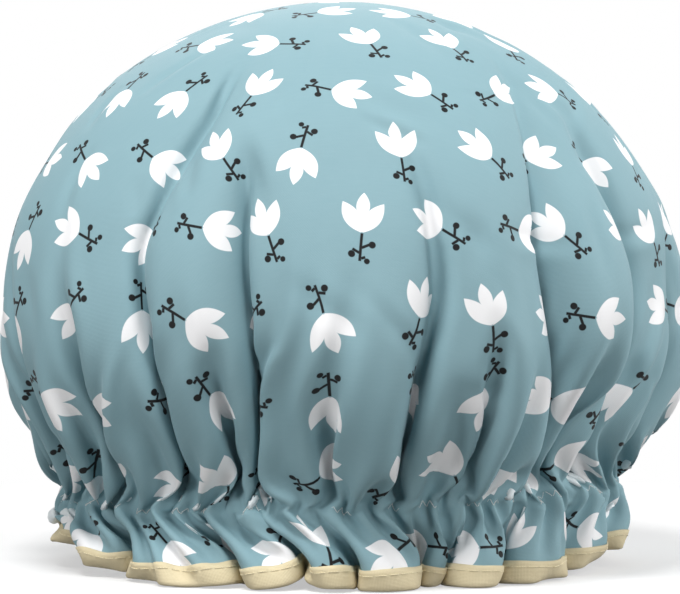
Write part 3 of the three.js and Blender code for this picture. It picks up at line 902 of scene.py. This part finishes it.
def printedCotton():
    plan = printPlan
    material, shader = startMaterial("printed cotton")
    flat = place(shader, "OFBake")
    u, v, _ = parts(shader, flat)
    x, y = (u - 0.5) * flatDiameter, (v - 0.5) * flatDiameter
    fromTop = (x * x + y * y).math("SQRT")
    turn = y.math("ARCTAN2", x) / fullTurn + 0.5
    row = (fromTop / plan["rowPitch"]).math("FLOOR")
    middle = (row + 0.5) * plan["rowPitch"]

    def ringAt(run):
        bent = (run / plan["fullRing"]).math("MINIMUM", math.pi / 2)
        return bent.math("SINE") * plan["fullRing"]

    count = (ringAt(middle) * (fullTurn / plan["motifPitch"])).math("ROUND")
    across = (turn + row * plan["rowShift"]).math("FRACT") * count
    cell = across.math("FLOOR")
    ids = shader.node("ShaderNodeCombineXYZ", {}, {0: cell, 1: row})
    chance = shader.node("ShaderNodeTexWhiteNoise", {"noise_dimensions": "2D"}, {"Vector": ids}, 1)
    chanceX, chanceY, chanceTurn = parts(shader, chance)
    localX = (across - cell - 0.5) * ringAt(fromTop) * fullTurn / count - (chanceX - 0.5) * plan["jitter"]
    localY = fromTop - middle - (chanceY - 0.5) * plan["jitter"]
    angle = chanceTurn * fullTurn
    cosine, sine = angle.math("COSINE"), angle.math("SINE")
    sprigX = localX * cosine + localY * sine
    sprigY = localY * cosine - localX * sine
    white = strongest([leafMask(sprigX, sprigY, leaf, plan["edge"]) for leaf in plan["leaves"]])
    berries = [berryMask(sprigX, sprigY, berry, plan["edge"]) for berry in plan["berries"]]
    twigs = [twigMask(sprigX, sprigY, twig, plan["twigHalfWidth"], plan["edge"]) for twig in plan["twigs"]]
    black = strongest(berries + twigs)
    cloudy = noise(shader, flat, 22.0, 4.0)
    warp, weft = [(along * (fullTurn / plan["weavePitch"])).math("SINE") for along in (x, y)]
    weave = warp * weft
    threads = shader.node("ShaderNodeCombineXYZ", {}, {0: x * 0.12, 1: y * 1.6})
    slub = noise(shader, threads, 1.0, 3.0)
    # Random mottle and slubs, plus painted shade: the weave term darkens the teal where the weave's bump is
    # low
    mottleAndPaintedShade = (cloudy * 0.7 + slub * 0.5 - 0.1 + weave * 0.08).clamped()
    ground = mottleAndPaintedShade.mixed(plan["tealDeep"], plan["teal"])
    colour = white.mixed(ground, plan["white"])
    colour = black.mixed(colour, plan["black"])
    rough = 0.62 + cloudy * 0.1 - white * 0.06
    creased = noise(shader, flat, 70.0, 5.0, 0.62)
    normal = bump(shader, weave * 0.25 + creased * 0.9, 0.22, 0.0006)
    return finishMaterial(material, shader, {
        "Base Color": colour, "Roughness": rough, "Normal": normal,
        "Specular IOR Level": 0.2, "Sheen Weight": 0.08, "Sheen Roughness": 0.35})


filmPlan = dict(milk=sRgb(226, 233, 235), deep=sRgb(214, 224, 227))


def milkyFilm():
    material, shader = startMaterial("milky film")
    flat = place(shader, "OFBake")
    cloudy = noise(shader, flat, 30.0, 3.0)
    crinkle = noise(shader, flat, 95.0, 6.0, 0.65)
    colour = cloudy.mixed(filmPlan["deep"], filmPlan["milk"])
    return finishMaterial(material, shader, {
        "Base Color": colour, "Roughness": 0.28 + cloudy * 0.14, "Specular IOR Level": 0.5,
        "Normal": bump(shader, crinkle, 0.5, 0.0012)})


# The second colour is the darker cream of the random mottle, and also painted shade where the weave's bump
# is low
tapePlan = dict(cream=sRgb(228, 215, 181), mottleAndPaintedShade=sRgb(216, 201, 163), weavePitch=0.6)


def creamTape():
    plan = tapePlan
    material, shader = startMaterial("cream cotton tape")
    along, across, _ = parts(shader, place(shader, "flatCut"))
    # Cut on the bias, so the threads run slantwise
    slant = fullTurn / plan["weavePitch"] * 0.707
    weave = ((along + across) * slant).math("SINE") * ((along - across) * slant).math("SINE")
    spread = shader.node("ShaderNodeCombineXYZ", {}, {0: along, 1: across})
    pucker = noise(shader, spread, 0.33, 3.0)
    mottle = noise(shader, spread, 0.09, 4.0)
    # Random mottle, plus painted shade: the weave term darkens the tape where the weave's bump is low
    colour = (mottle * 0.9 + weave * 0.14).clamped().mixed(plan["mottleAndPaintedShade"], plan["cream"])
    normal = bump(shader, weave * 0.2 + pucker * 1.5, 0.4, 0.0006)
    return finishMaterial(material, shader, {
        "Base Color": colour, "Roughness": 0.74 + weave * 0.05, "Normal": normal,
        "Specular IOR Level": 0.25, "Sheen Weight": 0.1})


# The second colour is painted shade, laid into the grooves between the ribs
elasticLook = dict(white=sRgb(236, 235, 230), paintedGrooveShade=sRgb(205, 204, 198), ribs=0.875, picks=1.1)


def ribbedElastic():
    plan = elasticLook
    material, shader = startMaterial("braided elastic")
    along, across, _ = parts(shader, place(shader, "flatCut"))
    rib = (across * (fullTurn / plan["ribs"])).math("COSINE")
    pick = ((along + abs(rib) * 0.3) * (fullTurn / plan["picks"])).math("COSINE")
    height = rib * 0.5 + pick * 0.3
    # Painted shade: the colour darkens where the ribs' bump is low
    colour = (height * 0.5 + 0.6).clamped().mixed(plan["paintedGrooveShade"], plan["white"])
    return finishMaterial(material, shader, {
        "Base Color": colour, "Roughness": 0.7 - rib * 0.05, "Normal": bump(shader, height, 0.7, 0.00035),
        "Specular IOR Level": 0.3})


# Each pair is a thread's colour and a painted shade for the grooves of its twist
threadLook = dict(
    white=(sRgb(240, 240, 236), sRgb(206, 207, 204)), cream=(sRgb(244, 233, 200), sRgb(226, 212, 172)),
    twistPitch=0.8, slant=0.9)


def spunThread(name, colours):
    light, paintedTwistShade = colours
    material, shader = startMaterial(name)
    along, across, _ = parts(shader, place(shader, "flatCut"))
    twist = ((along + across * threadLook["slant"]) * (fullTurn / threadLook["twistPitch"])).math("SINE")
    # Painted shade: the colour darkens in the grooves of the twist, where its bump is low
    colour = (twist * 0.5 + 0.5).mixed(paintedTwistShade, light)
    return finishMaterial(material, shader, {
        "Base Color": colour, "Roughness": 0.6 - twist * 0.06, "Normal": bump(shader, twist, 0.5, 0.0001),
        "Sheen Weight": 0.2})


whiteThread = spunThread("white thread", threadLook["white"])
creamThread = spunThread("cream thread", threadLook["cream"])
for piece, material in (
        (coverPiece, printedCotton()), (linerPiece, milkyFilm()), (bindingPiece, creamTape()),
        (elasticPiece, ribbedElastic()), (tackThread, whiteThread),
        (gatherThreadOutside, whiteThread), (gatherThreadInside, whiteThread),
        (bindingThread, creamThread), (bindingThreadInside, creamThread)):
    dress(piece, material)
print("materials are set")

standsFor = [
    (coverPiece, "outer_cover", "cover_fabric"),
    (linerPiece, "waterproof_liner", "liner_film"),
    (bindingPiece, "hem_binding", "binding_tape"),
    (elasticPiece, "elastic_band", "elastic_braid"),
    (tackThread, "elastic_join_stitches", "sewing_thread"),
    (gatherThreadOutside, "gathering_needle_thread", "sewing_thread"),
    (gatherThreadInside, "gathering_bobbin_thread", "sewing_thread"),
    (bindingThread, "binding_needle_thread", "binding_thread"),
    (bindingThreadInside, "binding_bobbin_thread", "binding_thread"),
]
for piece, node, slotName in standsFor:
    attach(piece, "root")
    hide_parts(node)

cutSize = flatDiameter * mm
cutArea = math.pi * (cutSize / 2) ** 2

# Camera, light and floor are in metres.
cameraPlan = dict(distance=1.0, height=0.105, aimHeight=0.0900, frameWidth=0.2338, sensor=36)
lightPlan = dict(
    world=0.05,
    lamps=(
        dict(name="overhead", place=(-0.2, -0.5, 1.2), aim=(0, 0, 0.10), size=0.35, energy=13.0),
        dict(name="front", place=(0.6, -1.1, 0.3), aim=(0, 0, 0.07), size=0.3, energy=3.2),
        dict(name="right fill", place=(0.8, -1.0, 0.85), aim=(0, 0, 0.09), size=0.7, energy=4.2),
        dict(name="right side", place=(1.2, 0.15, 0.45), aim=(0, 0, 0.09), size=0.6, energy=9.0),
        dict(name="left side", place=(-1.0, -0.75, 0.3), aim=(0, 0, 0.07), size=0.4, energy=6.0),
        dict(name="back", place=(-0.2, 1.1, 0.9), aim=(0, 0, 0.10), size=0.9, energy=7.0),
    ),
)
floorPlan = dict(
    size=8.0, plainFrom=0.15, plainTo=0.36, white=(0.95, 0.95, 0.95, 1),
    bounce=(0.16, 0.16, 0.16, 1),  # what the floor sends back onto the cap
    pale=0.5)  # how much of the shadow is taken off even close by


def aimed(location, target):
    return (Vector(target) - Vector(location)).to_track_quat("-Z", "Y").to_euler()


cameraData = bpy.data.cameras.new("camera")
camera = bpy.data.objects.new("camera", cameraData)
camera.location = (0, -cameraPlan["distance"], cameraPlan["height"])
camera.rotation_euler = aimed(camera.location, (0, 0, cameraPlan["aimHeight"]))
cameraData.sensor_width = cameraPlan["sensor"]
cameraData.lens = cameraPlan["sensor"] * cameraPlan["distance"] / cameraPlan["frameWidth"]
bpy.context.scene.collection.objects.link(camera)
bpy.context.scene.camera = camera

for lamp in lightPlan["lamps"]:
    data = bpy.data.lights.new(lamp["name"], "AREA")
    data.size, data.energy = lamp["size"], lamp["energy"]
    light = bpy.data.objects.new(lamp["name"], data)
    light.location = lamp["place"]
    light.rotation_euler = aimed(light.location, lamp["aim"])
    bpy.context.scene.collection.objects.link(light)


def seenDirectly(shader):
    path = shader.node("ShaderNodeLightPath")
    outputs = path.socket.node.outputs
    rays = ("Is Camera Ray", "Is Glossy Ray", "Is Transmission Ray")
    return strongest([Wire(shader.tree, outputs[name]) for name in rays])


def paleFloor():
    # White floor that keeps the cap's shadow close by and meets the white background further off
    material, shader = startMaterial("white floor")
    position = shader.node("ShaderNodeNewGeometry")
    x, y, _ = parts(shader, position)
    distance = (x * x + y * y).math("SQRT")
    far = ((distance - floorPlan["plainFrom"]) / (floorPlan["plainTo"] - floorPlan["plainFrom"])).clamped()
    plain = shader.node("ShaderNodeEmission", {}, {"Color": (1, 1, 1, 1), "Strength": 1.0})
    seen = seenDirectly(shader)
    colour = seen.mixed(floorPlan["bounce"], floorPlan["white"])
    lit = shader.node("ShaderNodeBsdfDiffuse", {}, {"Color": colour})
    pale = floorPlan["pale"] + far * (1 - floorPlan["pale"])
    surface = shader.node("ShaderNodeMixShader", {}, {0: pale * seen, 1: lit, 2: plain})
    shader.node("ShaderNodeOutputMaterial", {}, {"Surface": surface})
    return material


half = floorPlan["size"] / 2 / mm
floorCorners = [(-half, -half, 0), (half, -half, 0), (half, half, 0), (-half, half, 0)]
floor = makePiece("floor", floorCorners, [(0, 1, 2, 3)])
dress(floor, paleFloor())

world = bpy.data.worlds.new("studio")
world.use_nodes = True
world.node_tree.nodes.clear()
sky = Wire(world.node_tree)
strength = seenDirectly(sky) * (1 - lightPlan["world"]) + lightPlan["world"]
background = sky.node("ShaderNodeBackground", {}, {"Color": (1, 1, 1, 1), "Strength": strength})
sky.node("ShaderNodeOutputWorld", {}, {"Surface": background})
bpy.context.scene.world = world
bpy.context.scene.view_settings.view_transform = "Standard"
print("camera, light and floor are set")
